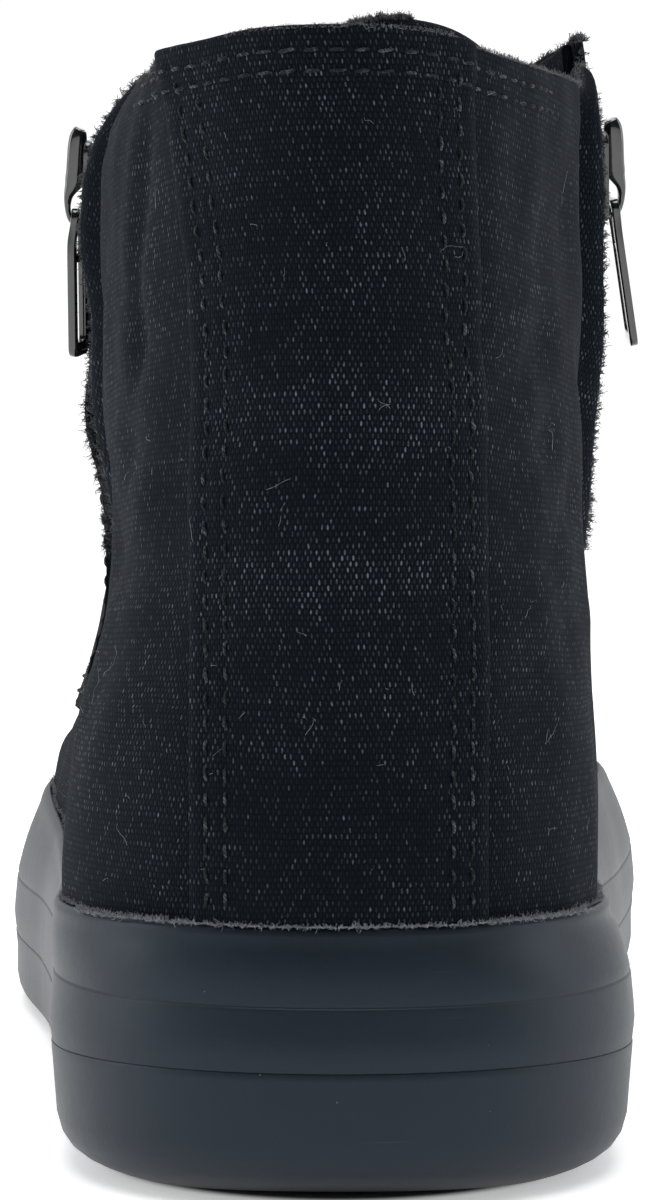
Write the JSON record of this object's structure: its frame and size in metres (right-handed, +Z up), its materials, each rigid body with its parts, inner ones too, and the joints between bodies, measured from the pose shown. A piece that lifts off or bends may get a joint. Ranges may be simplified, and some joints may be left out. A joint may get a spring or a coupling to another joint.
{
  "type": "high top sneaker",
  "caption": "Canvas high top sneaker for the left foot with a thick tiered rubber cup sole, front lacing and a zip down each side of the shaft.",
  "frame": {"origin": "on the floor under the middle of the heel, on the sole's flat underside", "axes": "+Y from heel to toe, +Z up, +X towards the medial (inner) side of this left shoe"},
  "size_m": [0.1107, 0.3019, 0.1625],
  "materials": {
    "canvas": "plain-weave cotton canvas, almost black",
    "rubber": "smooth satin dark slate rubber",
    "lining": "matte cotton lining",
    "lace_cord": "flat woven cotton",
    "zip_tape": "woven tape with closed metal teeth",
    "black_metal": "gloss black"
  },
  "bodies": {
    "shoe": {"outsole": "rubber", "midsole": "rubber", "insole": "lining", "upper": "canvas", "heel_strip": "canvas", "front_panel": "canvas", "toe_cap": "rubber", "tongue": "canvas", "lace": "lace_cord", "eyelet_medial_1": "black_metal", "eyelet_medial_2": "black_metal", "eyelet_medial_3": "black_metal", "eyelet_medial_4": "black_metal", "eyelet_medial_5": "black_metal", "eyelet_medial_6": "black_metal", "eyelet_medial_7": "black_metal", "eyelet_lateral_1": "black_metal", "eyelet_lateral_2": "black_metal", "eyelet_lateral_3": "black_metal", "eyelet_lateral_4": "black_metal", "eyelet_lateral_5": "black_metal", "eyelet_lateral_6": "black_metal", "eyelet_lateral_7": "black_metal", "zip_lateral": "zip_tape", "zip_medial": "zip_tape", "slider_lateral": "black_metal", "slider_medial": "black_metal"},
    "pull_lateral": {"pull_tab_lateral": "black_metal"},
    "pull_medial": {"pull_tab_medial": "black_metal"}
  },
  "joints": [
    {"name": "pull_lateral_swing", "type": "hinge", "parent": "shoe", "child": "pull_lateral", "pos_m": [-0.0385, 0.05425, 0.13057], "axis": [0.0391, 0.9856, 0.1643], "range_deg": [0, 140]},
    {"name": "pull_medial_swing", "type": "hinge", "parent": "shoe", "child": "pull_medial", "pos_m": [0.04077, 0.05424, 0.13194], "axis": [0.1153, -0.9798, -0.1633], "range_deg": [-12, 130]}
  ]
}
